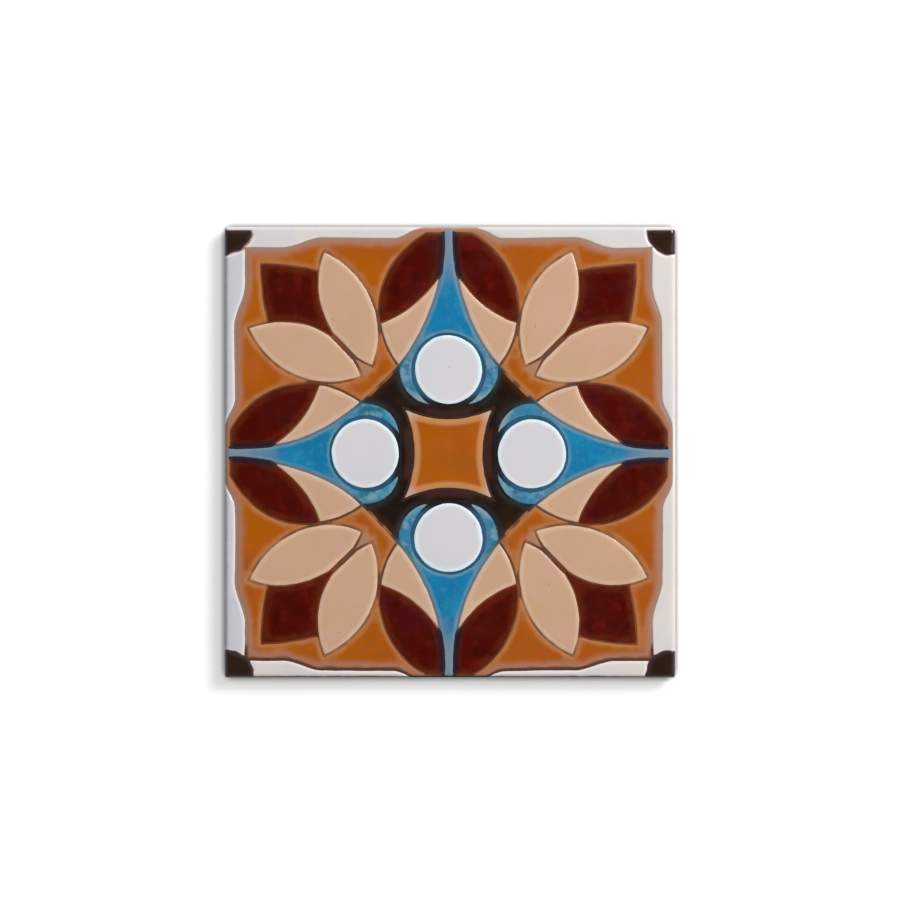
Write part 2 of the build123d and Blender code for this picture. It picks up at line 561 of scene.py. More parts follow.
def zero_loops(values):
    """Closed loops along which the values are zero."""
    points = crossings(values, 0.0)
    links = cell_links(values, points)
    loops = []
    unused = set(points)
    for start in points:
        if start not in unused:
            continue
        loop = []
        step = start
        while step is not None:
            loop.append(points[step])
            unused.discard(step)
            step = next((key for key in links[step] if key in unused), None)
        loops.append(np.array(loop))
    return loops


def loop_area(loop):
    x, y = loop[:, 0], loop[:, 1]
    return 0.5 * abs(np.dot(x, np.roll(y, -1)) - np.dot(y, np.roll(x, -1)))


def evenly_spaced(loop, spacing):
    """The closed loop with points at equal steps along it."""
    closed = np.vstack([loop, loop[:1]])
    along = np.concatenate([[0], np.cumsum(np.hypot(*np.diff(closed, axis=0).T))])
    count = max(8, int(round(along[-1] / spacing)))
    places = np.linspace(0, along[-1], count, endpoint=False)
    return np.column_stack([np.interp(places, along, closed[:, k]) for k in range(2)])


def turned_left(loop, area):
    """The loop in the direction that has the area's inside on its left."""
    following = np.roll(loop, -1, axis=0)
    ahead = following - loop
    middle = (following + loop) / 2
    probe = middle + np.column_stack([-ahead[:, 1], ahead[:, 0]]) * 0.3
    falls = area(*probe.T).mean() < area(*middle.T).mean()
    return loop if falls else loop[::-1]


def outlines_of(area):
    """Loops round each part of an area, and the area's distances on the grid."""
    values = area(GRID_X, GRID_Y)
    loops = [loop for loop in zero_loops(values) if loop_area(loop) > SMALLEST_FIELD]
    return [turned_left(evenly_spaced(loop, OUTLINE_SPACING), area) for loop in loops], values


def thinned(points, spacing):
    """Points no two of which share a cell of the given spacing."""
    chosen = {}
    for point in points:
        chosen.setdefault((point[0] // spacing, point[1] // spacing), point)
    return list(chosen.values())


def ring_points(values):
    """Points along rings inside an area's edge."""
    points = []
    for depth in RING_DEPTHS:
        points += thinned(crossings(values, -depth).values(), RING_SPACING)
    return points


def spread_points(values, depth, spacing):
    """Points spread evenly over the part of an area that lies deeper than the depth."""
    step = int(round(spacing / GRID_STEP))
    chosen = values[::step, ::step] < -depth
    return list(zip(GRID_X[::step, ::step][chosen], GRID_Y[::step, ::step][chosen]))


# Surfaces between the outlines


def walled_parts(triangles, walls):
    """A number for each triangle, the same for all that no wall parts."""
    parent = list(range(len(triangles)))

    def root(k):
        while parent[k] != k:
            parent[k] = parent[parent[k]]
            k = parent[k]
        return k

    owner = {}
    for number, (a, b, c) in enumerate(triangles.tolist()):
        for side in ((a, b), (b, c), (c, a)):
            key = (min(side), max(side))
            if key in walls:
                continue
            if key in owner:
                parent[root(number)] = root(owner[key])
            else:
                owner[key] = number
    return np.array([root(k) for k in range(len(triangles))])


def facing_up(corners, triangles):
    """The triangles turned to face up, and twice the area of each."""
    sides = corners[triangles[:, 1:]] - corners[triangles[:, :1]]
    double_area = sides[:, 0, 0] * sides[:, 1, 1] - sides[:, 0, 1] * sides[:, 1, 0]
    turned = triangles.copy()
    turned[double_area < 0] = triangles[double_area < 0][:, ::-1]
    return turned, np.abs(double_area)


def triangulate(loops, inner_points, area):
    """Triangles that fill the area between the loops, and each loop's corners in order."""
    points = []
    edges = []
    spans = []
    for loop in loops:
        span = range(len(points), len(points) + len(loop))
        edges += [*zip(span, span[1:]), (span[-1], span[0])]
        points += [tuple(p) for p in loop]
        spans.append(span)
    points += [tuple(p) for p in inner_points]
    flat = [Vector((float(px), float(py))) for px, py in points]
    result = delaunay_2d_cdt(flat, edges, [], 0, 1e-5, True)
    corners = np.array([tuple(p) for p in result[0]])
    place_of = {original: new for new, originals in enumerate(result[3]) for original in originals}
    walls = {tuple(sorted((place_of[a], place_of[b]))) for a, b in edges}
    triangles, sizes = facing_up(corners, np.array(result[2]))
    part = walled_parts(triangles, walls)
    sign = np.sign(area(*corners[triangles].mean(axis=1).T)) * sizes
    balance = np.bincount(part, weights=sign, minlength=len(triangles))
    triangles = triangles[balance[part] < 0]
    rims = [[place_of[k] for k in span] for span in spans]
    return corners, triangles, rims


class Mesh:
    """Vertices and faces of one piece, gathered step by step."""

    def __init__(self):
        self.vertices = []
        self.depths = []
        self.faces = []
        self.count = 0

    def add_vertices(self, points, depth=0.0):
        """Adds points with their depth inside the piece's outline, and returns their numbers."""
        points = np.asarray(points, float)
        self.vertices.append(points)
        self.depths.append(np.broadcast_to(np.asarray(depth, float), len(points)))
        numbers = np.arange(self.count, self.count + len(points))
        self.count += len(points)
        return numbers

    def add_ring(self, ring, height, depth=0.0):
        heights = np.broadcast_to(height, len(ring))
        return self.add_vertices(np.column_stack([ring, heights]), depth)

    def add_faces(self, faces):
        self.faces += [tuple(int(k) for k in face) for face in faces]

    def add_cap(self, loops, inner_points, area, height, depth_of=None, upward=True):
        """A surface over the area between the loops. Returns the numbers of each loop's vertices."""
        corners, triangles, rims = triangulate(loops, inner_points, area)
        x, y = corners.T
        depth = np.maximum(-area(x, y), 0) if depth_of is None else depth_of(x, y)
        numbers = self.add_vertices(np.column_stack([x, y, height(x, y, depth)]), depth)
        self.add_faces(numbers[triangles] if upward else numbers[triangles[:, ::-1]])
        return [numbers[rim] for rim in rims]

    def add_wall(self, upper, lower):
        """Quads between two loops. Seen from above, the piece lies left of their direction."""
        following = np.roll(np.arange(len(upper)), -1)
        self.add_faces(np.column_stack([upper, lower, lower[following], upper[following]]))

    def add_walls(self, uppers, lowers):
        """A wall between each loop of one cap and its like in the other."""
        for upper, lower in zip(uppers, lowers):
            self.add_wall(upper, lower)

    def finish(self, name, material, slot):
        """The object, riding on the tile's body, with the distances that its material reads."""
        mesh = bpy.data.meshes.new(name)
        vertices = np.vstack(self.vertices)
        mesh.from_pydata((vertices * MM).tolist(), [], self.faces)
        distances = {"edge": np.concatenate(self.depths)}
        distances |= ornament_distances(vertices[:, 0], vertices[:, 1])
        for part, values in distances.items():
            layer = mesh.attributes.new(part + "_distance", "FLOAT", "POINT")
            layer.data.foreach_set("value", values.astype(np.float32))
        mesh.shade_smooth()
        mesh.set_sharp_from_angle(angle=math.radians(SHARP_ANGLE))
        mesh.materials.append(material)
        piece = in_scene(name, mesh)
        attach(piece, "root")
        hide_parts("tile")


# Node trees


def linear(value):
    """One channel of an sRGB colour of 0 to 255, as the shaders take it."""
    value = value / 255
    return value / 12.92 if value <= 0.04045 else ((value + 0.055) / 1.055) ** 2.4


def as_socket_value(colour):
    """A colour of 0 to 255 as shader values. A node's output stays as it is."""
    return (*map(linear, colour), 1.0) if isinstance(colour, tuple) else colour


class Nodes:
    """The node tree of a material or a world, built up node by node."""

    def __init__(self, owner):
        owner.use_nodes = True
        self.tree = owner.node_tree

    def put(self, socket, value):
        """Links a node's output to the socket, or sets the socket to a constant."""
        if isinstance(value, bpy.types.NodeSocket):
            self.tree.links.new(value, socket)
        else:
            socket.default_value = value

    def add(self, kind, inputs, **settings):
        """The outputs of a new node with these settings, and with these inputs by name or number."""
        node = self.tree.nodes.new("ShaderNode" + kind)
        for name, value in settings.items():
            setattr(node, name, value)
        for name, value in inputs.items():
            self.put(node.inputs[name], value)
        return node.outputs

    def math(self, operation, first, second=0.0):
        return self.add("Math", {0: first, 1: second}, operation=operation)[0]

    def between(self, value, start, end, low=0.0, high=1.0, kind="SMOOTHSTEP"):
        """Low up to the start, high from the end on, and a smooth or straight way between them."""
        inputs = {"Value": value, "From Min": start, "From Max": end, "To Min": low, "To Max": high}
        return self.add("MapRange", inputs, interpolation_type=kind)["Result"]

    def mix(self, share, first, second):
        """The first colour, with a share of the second."""
        inputs = {0: share, 6: as_socket_value(first), 7: as_socket_value(second)}
        return self.add("Mix", inputs, data_type="RGBA")[2]


# Materials. Their colours are sRGB of 0 to 255.


class Paint(Nodes):
    """A material around one Principled shader, whose colour is laid on coat by coat."""

    def __init__(self, name, seed):
        self.material = bpy.data.materials.new(name)
        super().__init__(self.material)
        self.shader = self.tree.nodes["Principled BSDF"]
        self.place = self.add("TexCoord", {})["Object"]
        self.seed = seed
        self.colour = None

    def lay(self, colour, *shares):
        """Lays a coat of the colour over the rest, with the product of the shares."""
        share = shares[0]
        for factor in shares[1:]:
            share = self.math("MULTIPLY", share, factor)
        self.colour = self.mix(share, self.colour, colour)

    def noise(self, size, detail=3, roughness=0.5):
        """Noise of 0 to 1 whose patches are about as large as the size."""
        self.seed += 1
        inputs = {"Vector": self.place, "W": 3.7 * self.seed, "Scale": 1 / (size * MM)}
        inputs |= {"Detail": detail, "Roughness": roughness}
        return self.add("TexNoise", inputs, noise_dimensions="4D")["Fac"]

    def patches(self, size, detail, start, end, share=1.0, roughness=0.5):
        """The share where noise of this size is beyond the end, and nothing below the start."""
        return self.between(self.noise(size, detail, roughness), start, end, 0.0, share)

    def spots(self, spacing):
        """Distance from scattered points, as a share of their spacing."""
        return self.add("TexVoronoi", {"Vector": self.place, "Scale": 1 / (spacing * MM)})["Distance"]

    def along(self, axis):
        """Distance from the slab's middle along the axis, in millimetres."""
        return self.math("DIVIDE", self.add("SeparateXYZ", {0: self.place})[axis], MM)

    def from_middle(self):
        """Distance from the ornament's middle, in millimetres."""
        middle = (DECOR_X * MM, DECOR_Y * MM, TOP * MM)
        distance = self.add("VectorMath", {0: self.place, 1: middle}, operation="DISTANCE")
        return self.math("DIVIDE", distance["Value"], MM)

    def distance(self, part):
        """Distance from this part of the ornament, or from the piece's own edge."""
        return self.add("Attribute", {}, attribute_name=part + "_distance")["Fac"]

    def unsteady(self, distance, size, amount):
        """The distance, which wavers by the amount over the size."""
        waver = self.between(self.noise(size), 0.25, 0.75, -amount, amount)
        return self.math("ADD", distance, waver)

    def within(self, part, start, end, share=1.0):
        """The share where the part's distance is below the start, and nothing beyond the end."""
        return self.between(self.distance(part), start, end, share, 0.0)

    def near(self, part, reach):
        """1 beside the part's outline, 0 beyond the reach."""
        away = self.math("ABSOLUTE", self.distance(part))
        return self.between(away, 0.75 * reach, 1.25 * reach, 1.0, 0.0)

    def bump(self, height, depth):
        """Relief of the given depth, in millimetres, for a height of 0 to 1."""
        inputs = {"Strength": 1.0, "Distance": depth * MM, "Height": height}
        self.put(self.shader.inputs["Normal"], self.add("Bump", inputs)["Normal"])

    def finish(self, roughness):
        self.put(self.shader.inputs["Base Color"], self.colour)
        self.put(self.shader.inputs["Roughness"], roughness)
        return self.material


def lay_painted_arris_shade(paint):
    """Painted shade: a dark colour on the rounded arris of the lower edge, standing in for the shade
    there.
    """
    up = paint.unsteady(paint.along("Y"), 5, 0.12)
    on_edge = paint.between(up, 0.45 - HALF_SIDE, 0.85 - HALF_SIDE, 0.9, 0.0)
    on_arris = paint.between(paint.along("Z"), TOP - 2.2, TOP - 1.4)
    # Painted shade: this dark colour darkens the lower arris as shade would.
    paint.lay((38, 33, 32), on_edge, on_arris)


def fired(paint, pinhole_spacing, pinhole_reach, pinhole_colour, pinhole_share):
    """The material with a few pinholes, orange peel and gloss, as every glaze has them, and painted
    shade on the lower arris.
    """
    pinhole = paint.between(paint.spots(pinhole_spacing), 0.02, pinhole_reach, 1.0, 0.0)
    paint.lay(pinhole_colour, pinhole, pinhole_share)
    # Painted shade on the lower arris.
    lay_painted_arris_shade(paint)
    paint.bump(paint.math("SUBTRACT", paint.noise(1.6, 2), pinhole), 0.012)
    return paint.finish(paint.between(paint.noise(8), 0.3, 0.7, 0.12, 0.24))


def glaze(name, seed, colours, rim_width, tint=None):
    """Glossy glaze that drifts from a first colour to a second and thins to a rim of the third."""
    core, drift, rim = colours
    paint = Paint(name, seed)
    paint.colour = paint.mix(paint.patches(14, 2, 0.36, 0.64), core, drift)
    paint.lay(drift, paint.patches(2.4, 4, 0.42, 0.72, 0.35, roughness=0.6))
    edge = paint.unsteady(paint.distance("edge"), 3.5, 0.15 * rim_width)
    thinned_share = paint.between(edge, 0.25 * rim_width, rim_width, 0.95, 0.0)
    patchy = paint.between(paint.noise(9, 2), 0.3, 0.6, 0.8, 1.0)
    paint.lay(rim, thinned_share, patchy)
    if tint is not None:
        tint(paint)
    return fired(paint, 7, 0.045, (60, 45, 40), 0.5)


def ochre_tint(paint):
    """Red and brown drifts, brown by maroon, greyed at the border, and pale round the star's edge."""
    paint.lay((182, 84, 36), paint.patches(9, 3, 0.54, 0.7, 0.5))
    paint.lay((152, 88, 26), paint.patches(7, 3, 0.54, 0.7, 0.5))
    paint.lay((140, 80, 42), paint.within("maroon", 0.1, 0.8, 0.8))
    border_edge = paint.unsteady(paint.distance("border"), 5, 0.5)
    paint.lay((169, 119, 97), paint.between(border_edge, 0.6, 3.8, 0.95, 0.0))
    low = paint.between(paint.along("Y"), *LOW_BAND, 1.0, 0.0)
    burnt = paint.between(border_edge, 0.2, 1.2, 0.7, 0.0)
    paint.lay((118, 72, 54), low, burnt)
    in_star = paint.within("star", -0.3, 0.3)
    star_rim = paint.between(paint.distance("star"), -3.1, -1.7, 0.0, 0.9)
    paint.lay((196, 136, 88), in_star, star_rim)
    distance = paint.from_middle()
    on_diagonal = paint.within("diagonal", 0.6, 3.0)
    past_feet = paint.between(distance, 36.5, 39.0)
    short_of_petals = paint.between(distance, 42.0, 44.0, 0.9, 0.0)
    paint.lay((172, 128, 96), past_feet, on_diagonal, short_of_petals)
    star_points = paint.between(distance, 15.0, 19.0)
    short_of_cross = paint.between(distance, 21.5, 22.5, 1.0, 0.0)
    paint.lay((196, 166, 150), star_points, short_of_cross)


def sand_tint(paint):
    """Pink and yellow drifts, and a little grey along the drops."""
    paint.lay((205, 160, 142), paint.patches(6, 2, 0.45, 0.7, 0.5))
    paint.lay((196, 164, 122), paint.patches(6, 2, 0.5, 0.75, 0.5))
    paint.lay((202, 178, 160), paint.within("drop", 0.8, 2.4, 0.7))


def blue_tint(paint):
    """Grey, teal and pale round the discs, a painted highlight at the crescent tips, cyan drifts, and
    grey drop tips.
    """
    distance = paint.unsteady(paint.from_middle(), 6, 2.5)
    round_disc = paint.between(distance, 33.0, 40.0, 0.85, 0.0)
    paint.lay((64, 122, 152), round_disc)
    teal = paint.patches(4, 3, 0.5, 0.62)
    paint.lay((30, 104, 122), round_disc, teal)
    pale = paint.patches(3, 3, 0.46, 0.66, 0.65, roughness=0.6)
    paint.lay((142, 172, 186), round_disc, pale)
    by_outline = paint.between(paint.distance("drop"), -1.1, -0.4, 0.0, 0.8)
    in_crescent = paint.between(distance, 31.0, 34.0, 1.0, 0.0)
    paint.lay((66, 102, 112), by_outline, in_crescent)
    # Painted highlight: pale colour at the crescent tips beside the star.
    paint.lay((140, 166, 178), paint.within("star", 4.6, 7.0, 0.75))
    paint.lay((26, 138, 176), paint.patches(8, 3, 0.5, 0.66, 0.6))
    paint.lay((70, 140, 174), paint.patches(2.2, 4, 0.5, 0.7, 0.35, roughness=0.6))
    paint.lay((124, 140, 154), paint.between(distance, 52.0, 70.0, 0.0, 0.9))


def black_tint(paint):
    """Olive drifts, brown by the star and at the waist, and teal by the drops."""
    paint.lay((44, 32, 14), paint.patches(7, 3, 0.45, 0.65, 0.8))
    beside_star = paint.within("star", 1.6, 3.4, 0.9)
    in_hollow = paint.within("axis", 6.5, 10.0)
    paint.lay((62, 38, 34), beside_star, in_hollow)
    paint.lay((72, 40, 16), paint.between(paint.from_middle(), 29.0, 33.0, 0.0, 0.9))
    teal = paint.within("drop", 0.3, 2.2, 0.8)
    in_corner = paint.between(paint.distance("axis"), 9.0, 12.0)
    paint.lay((36, 48, 50), teal, in_corner)


def maroon_tint(paint):
    """Plum, dark and red drifts, purple by the drops, and brown at the border."""
    paint.lay((74, 12, 20), paint.patches(8, 3, 0.5, 0.7, 0.6))
    paint.lay((50, 6, 4), paint.patches(4, 4, 0.5, 0.68, 0.55, roughness=0.6))
    paint.lay((104, 16, 6), paint.patches(5, 3, 0.52, 0.7, 0.6))
    paint.lay((38, 26, 36), paint.within("drop", 0.9, 2.6, 0.9))
    paint.lay((92, 50, 30), paint.within("border", 1.8, 3.4, 0.8))


def line_paint():
    """Dry line: brown, darker by the leaves, blue grey by the drops, slate round the discs."""
    paint = Paint("painted_line", 90)
    drift = paint.patches(7, 3, 0.36, 0.64)
    paint.colour = paint.mix(drift, (122, 78, 46), (160, 108, 68))
    paint.lay((98, 64, 42), paint.near("leaf", 1.1))
    between_petals = paint.within("diagonal", 0.8, 2.2)
    paint.lay((98, 62, 42), between_petals)
    by_maroon = paint.near("maroon", 0.7)
    paint.lay(paint.mix(drift, (96, 46, 20), (124, 66, 32)), by_maroon)
    by_cross = paint.between(paint.from_middle(), 32.0, 36.0, 1.0, 0.0)
    paint.lay((52, 38, 32), by_cross, paint.near("drop", 2.0))
    drop_colour = paint.mix(by_maroon, (98, 110, 118), (40, 32, 46))
    drop_colour = paint.mix(by_cross, drop_colour, paint.mix(drift, (34, 34, 36), (36, 50, 58)))
    paint.lay(drop_colour, paint.near("drop", 0.8))
    star_side = paint.within("star", 4.5, 7.0)
    paint.lay((32, 20, 18), star_side)
    paint.lay((56, 30, 18), paint.near("star", 0.5))
    ring_colour = paint.mix(drift, (28, 76, 100), (38, 88, 124))
    ring_colour = paint.mix(star_side, ring_colour, (26, 18, 24))
    paint.lay(ring_colour, paint.within("disc", 1.2, 1.6))
    by_border = paint.within("border", 0.8, 1.5)
    low = paint.between(paint.along("Y"), *LOW_BAND, 1.0, 0.0)
    paint.lay(paint.mix(low, (150, 128, 112), (88, 50, 38)), by_border)
    speck = paint.patches(0.7, 3, 0.5, 0.75, 0.2)
    paint.lay((128, 104, 90), speck, by_border)
    # Painted shade on the lower arris.
    lay_painted_arris_shade(paint)
    paint.bump(paint.noise(0.5), 0.015)
    paint.shader.inputs["Specular IOR Level"].default_value = 0.25
    return paint.finish(paint.between(paint.noise(3, 2), 0.3, 0.7, 0.4, 0.6))


def bisque_clay():
    """Dry pressed clay, buff to pink, with grog specks and a chalky grain."""
    paint = Paint("bisque", 120)
    paint.colour = paint.mix(paint.patches(30, 3, 0.35, 0.65), (203, 160, 130), (188, 138, 106))
    paint.lay((222, 190, 164), paint.patches(1.2, 5, 0.45, 0.7, 0.4, roughness=0.7))
    grog = paint.between(paint.spots(1.7), 0.1, 0.22, 0.7, 0.0)
    paint.lay((138, 92, 68), grog)
    grain = paint.noise(0.45, 4, 0.65)
    paint.bump(paint.math("SUBTRACT", grain, paint.math("MULTIPLY", grog, 0.5)), 0.08)
    return paint.finish(0.85)


def margin_glaze():
    """White glaze, bluish at the left, with painted shade greying the left arris, warm drifts and a
    pale rim.
    """
    paint = Paint("margin_glaze", 70)
    paint.colour = paint.mix(paint.patches(20, 3, 0.38, 0.62), (219, 212, 206), (212, 207, 208))
    paint.lay((196, 200, 211), paint.between(paint.along("X"), -70.0, -64.0, 0.75, 0.0))
    # Painted shade: grey on the left arris, where it turns away from the light.
    left_arris_painted_shade = paint.between(paint.along("X"), 0.1 - HALF_SIDE, 1.9 - HALF_SIDE, 0.6, 0.0)
    paint.lay((128, 134, 146), left_arris_painted_shade)
    paint.lay((224, 212, 202), paint.patches(4, 4, 0.5, 0.75, 0.4, roughness=0.6))
    paint.lay((236, 224, 220), paint.within("edge", 0.4, 1.4, 0.6))
    return fired(paint, 6, 0.05, (120, 100, 90), 0.6)


# Pieces


def pooled_height(x, y, depth, rise=MARGIN_RISE):
    """Height of a glaze field at this distance from its edge: a rounded rim, then a low dome."""
    rim = np.clip(depth / MENISCUS, 0, 1)
    rounded = rise * (1 - (1 - rim) ** 2)
    dome = DOME_RISE * (1 - np.exp(-depth / DOME_LENGTH))
    uneven = UNEVEN_RISE * waves(x, y, 11, 51) * smooth_step(depth, 0, 2)
    return FIELD_FOOT + rounded + dome + uneven - arris_drop(x, y)


def flat_at(height):
    """A surface at one height."""
    return lambda x, y, depth: np.full_like(x, height)


def bent_at(height):
    """A surface at one height that follows the arris down, for the underside of a coat."""
    return lambda x, y, depth: height - arris_drop(x, y)


def make_fields(name, area, material, slot, rise):
    """The glaze fields of one colour, each a closed pool with a rounded rim."""

    def surface(x, y, depth):
        return pooled_height(x, y, depth, rise)

    loops, values = outlines_of(area)
    mesh = Mesh()
    points = ring_points(values) + spread_points(values, RING_DEPTHS[-1] + INNER_GAP, INNER_SPACING)
    upper = mesh.add_cap(loops, points, area, surface)
    lower = mesh.add_cap(loops, [], area, bent_at(FIELD_FOOT - FOOT_DEPTH), upward=False)
    mesh.add_walls(upper, lower)
    mesh.finish(name, material, slot)


def make_lines():
    """The dark lines: one thin closed sheet that shows between the glaze fields."""
    loops, values = outlines_of(sheet_area)
    mesh = Mesh()
    points = spread_points(values, SHEET_GAP, SHEET_SPACING)
    foot_points = spread_points(values, SHEET_FOOT_GAP, SHEET_FOOT_SPACING)
    foot = bent_at(BODY_LEVEL - FOOT_DEPTH)

    def surface(x, y, depth):
        return LINE_LEVEL + UNEVEN_LINE * waves(x, y, 3, 61) - arris_drop(x, y)

    upper = mesh.add_cap(loops, points, sheet_area, surface)
    lower = mesh.add_cap(loops, foot_points, sheet_area, foot, upward=False)
    mesh.add_walls(upper, lower)
    mesh.finish("painted_lines", line_paint(), "outline")


def square_ring(inset):
    """Points round the slab's plan, moved inwards. Every ring has matching points."""
    radius = max(PLAN_CORNER - inset, 0.15)
    reach = HALF_SIDE - inset
    centre = reach - radius
    along = np.linspace(-centre, centre, SIDE_POINTS)
    turns = np.linspace(0, math.pi / 2, CORNER_POINTS + 2)[1:-1]
    side = np.column_stack([np.full(SIDE_POINTS, reach), along])
    corner = np.column_stack([centre + radius * np.cos(turns), centre + radius * np.sin(turns)])
    quarter = np.vstack([side, corner])
    turned = [quarter @ np.array([[c, s], [-s, c]]) for c, s in ((1, 0), (0, 1), (-1, 0), (0, -1))]
    return np.vstack(turned)


def arris_profile(radius, top, steps):
    """Insets and heights down a rounded arris, from the flat face to the upright land."""
    turns = np.linspace(0, math.pi / 2, steps + 1)
    insets = ARRIS - radius * np.sin(turns)
    heights = top - radius + radius * np.cos(turns)
    return list(zip(insets, heights))


def make_margin():
    """White glaze of the margin, over the arris and down the sides to a ragged lip."""
    loops, values = outlines_of(covered_area)
    loops = [loop[::-1] for loop in loops]
    arris_points = []
    for inset, _ in arris_profile(ARRIS, TOP, 7)[:-1]:
        ring = square_ring(inset)
        arris_points += [tuple(p) for p in ring[covered_area(*ring.T) > ARRIS_GAP]]
    flat = np.maximum(-values, plan(GRID_X, GRID_Y, ARRIS))
    rim_points = [p for p in ring_points(-values) if plan(*p) < -EDGE_GAP]
    points = rim_points + arris_points + spread_points(flat, MARGIN_GAP, INNER_SPACING)

    def depth_of(x, y):
        return np.maximum(covered_area(x, y), 0)

    def under_area(x, y):
        return np.maximum(-covered_area(x, y), plan(x, y, RIM_ROOT))

    mesh = Mesh()
    upper = mesh.add_cap([square_ring(0)] + loops, points, margin_area, pooled_height, depth_of)
    under_loops = [square_ring(RIM_ROOT)] + loops
    foot = bent_at(BODY_LEVEL - MARGIN_ROOT_DEPTH)
    lower = mesh.add_cap(under_loops, [], under_area, foot, depth_of, upward=False)
    mesh.add_walls(upper[1:], lower[1:])
    add_skirt(mesh, upper[0], lower[0])
    mesh.finish("margin_glaze", margin_glaze(), "glaze_white")


def add_skirt(mesh, outer_top, inner_top):
    """The glaze on the upright sides, thicker at the bead along its lip."""
    ring = square_ring(0)
    lip = LIP_HEIGHT + LIP_VARIATION * waves(*ring.T, 13, 71) + LIP_FRAYED * waves(*ring.T, 4, 72)
    start = TOP - ARRIS
    previous = outer_top
    # Inset, share of the way up from the lip, and height above the lip
    for inset, share, above_lip in (
        (0.03, 0.7, 0.0),
        (0.06, 0.4, 0.0),
        (0.03, 0.12, 0.25),
        (0.0, 0.0, 0.45),
        (0.03, 0.0, 0.2),
        (0.12, 0.0, 0.06),
        (GLAZE_ROOT, 0.0, 0.0),
    ):
        height = lip + above_lip + share * (start - lip)
        level = mesh.add_ring(square_ring(inset), height, 3.0)
        mesh.add_wall(previous, level)
        previous = level
    mesh.add_wall(previous, inner_top)


def groove_outline(middle, grow):
    """Round-ended groove outline, widened by the given amount, anticlockwise."""
    radius = GROOVE_WIDTH / 2 + grow
    turns = np.linspace(0, math.pi, GROOVE_END_POINTS)
    upper = np.column_stack([middle + radius * np.cos(turns), GROOVE_STRAIGHT + radius * np.sin(turns)])
    return np.vstack([upper, np.array([2 * middle, 0]) - upper])


def make_body():
    """Pressed clay slab: keyed back, drawn-in lower sides, and an arris under the glaze."""
    mesh = Mesh()
    middles = (np.arange(GROOVE_COUNT) - (GROOVE_COUNT - 1) / 2) * GROOVE_PITCH
    back_inset = BACK_SETBACK + BACK_ROUND

    def groove_floors(x, y):
        past_end = np.maximum(np.abs(y) - GROOVE_STRAIGHT, 0)
        nearest = np.min([np.abs(x - middle) for middle in middles], axis=0)
        return np.hypot(nearest, past_end) - GROOVE_WIDTH / 2

    def back_face(x, y):
        return np.maximum(-groove_floors(x, y) + GROOVE_LIP, plan(x, y, back_inset))

    def face(x, y):
        return plan(x, y, ARRIS)

    lips = [groove_outline(middle, GROOVE_LIP) for middle in middles]
    rims = mesh.add_cap([square_ring(back_inset)] + lips, [], back_face, flat_at(0.0), upward=False)
    floors = [groove_outline(middle, GROOVE_FLOOR) for middle in middles]
    floor_rims = mesh.add_cap(floors, [], groove_floors, flat_at(GROOVE_DEPTH), upward=False)
    for middle, rim, floor_rim in zip(middles, rims[1:], floor_rims):
        levels = [mesh.add_ring(groove_outline(middle, grow), height) for grow, height in GROOVE_LEVELS]
        for above, below in zip([*levels, floor_rim], [rim, *levels]):
            mesh.add_wall(above[::-1], below[::-1])
    sides = [
        (BACK_SETBACK + 0.3 * BACK_ROUND, 0.3 * BACK_ROUND),
        (BACK_SETBACK, BACK_ROUND),
        (GLAZE_SKIN + 0.15, LAND_BOTTOM - 0.5),
        (GLAZE_SKIN, LAND_BOTTOM + 0.3),
    ]
    sides += list(reversed(arris_profile(ARRIS - GLAZE_SKIN, BODY_LEVEL, 6)[1:]))
    previous = rims[0]
    for inset, height in sides:
        level = mesh.add_ring(square_ring(inset), height)
        mesh.add_wall(level, previous)
        previous = level
    top_rim = mesh.add_cap([square_ring(ARRIS)], [], face, flat_at(BODY_LEVEL))[0]
    mesh.add_wall(top_rim, previous)
    mesh.finish("tile_body", bisque_clay(), "bisque")


def make_pieces():
    make_body()
    make_lines()
    make_margin()
    coat = glaze("ochre_glaze", 1, ((174, 90, 4), (167, 84, 14), (180, 117, 70)), 2.3, ochre_tint)
    make_fields("glaze_ochre", ochre_fields, coat, "glaze_ochre", rise=0.13)
    coat = glaze("maroon_glaze", 10, ((79, 7, 0), (73, 10, 0), (96, 34, 10)), 3.2, maroon_tint)
    make_fields("glaze_maroon", maroon_fields, coat, "glaze_maroon", rise=0.11)
    coat = glaze("sand_glaze", 20, ((199, 160, 130), (202, 163, 134), (218, 182, 154)), 2.0, sand_tint)
    make_fields("glaze_sand", sand_fields, coat, "glaze_sand", rise=0.17)
    coat = glaze("blue_glaze", 30, ((22, 124, 172), (18, 114, 160), (100, 144, 166)), 1.6, blue_tint)
    make_fields("glaze_blue", blue_fields, coat, "glaze_blue", rise=0.11)
    coat = glaze("disc_glaze", 40, ((214, 210, 214), (208, 208, 214), (224, 238, 242)), 1.9)
    make_fields("glaze_discs", white_fields, coat, "glaze_white", rise=0.16)
    coat = glaze("cross_glaze", 50, ((38, 22, 21), (31, 20, 12), (36, 22, 24)), 0.5, black_tint)
    make_fields("glaze_cross", black_fields, coat, "glaze_black", rise=0.11)
    coat = glaze("dot_glaze", 60, ((40, 26, 19), (46, 31, 18), (60, 46, 56)), 1.6)
    make_fields("corner_dots", dot_fields, coat, "glaze_black", rise=0.14)


make_pieces()


# Stage and light


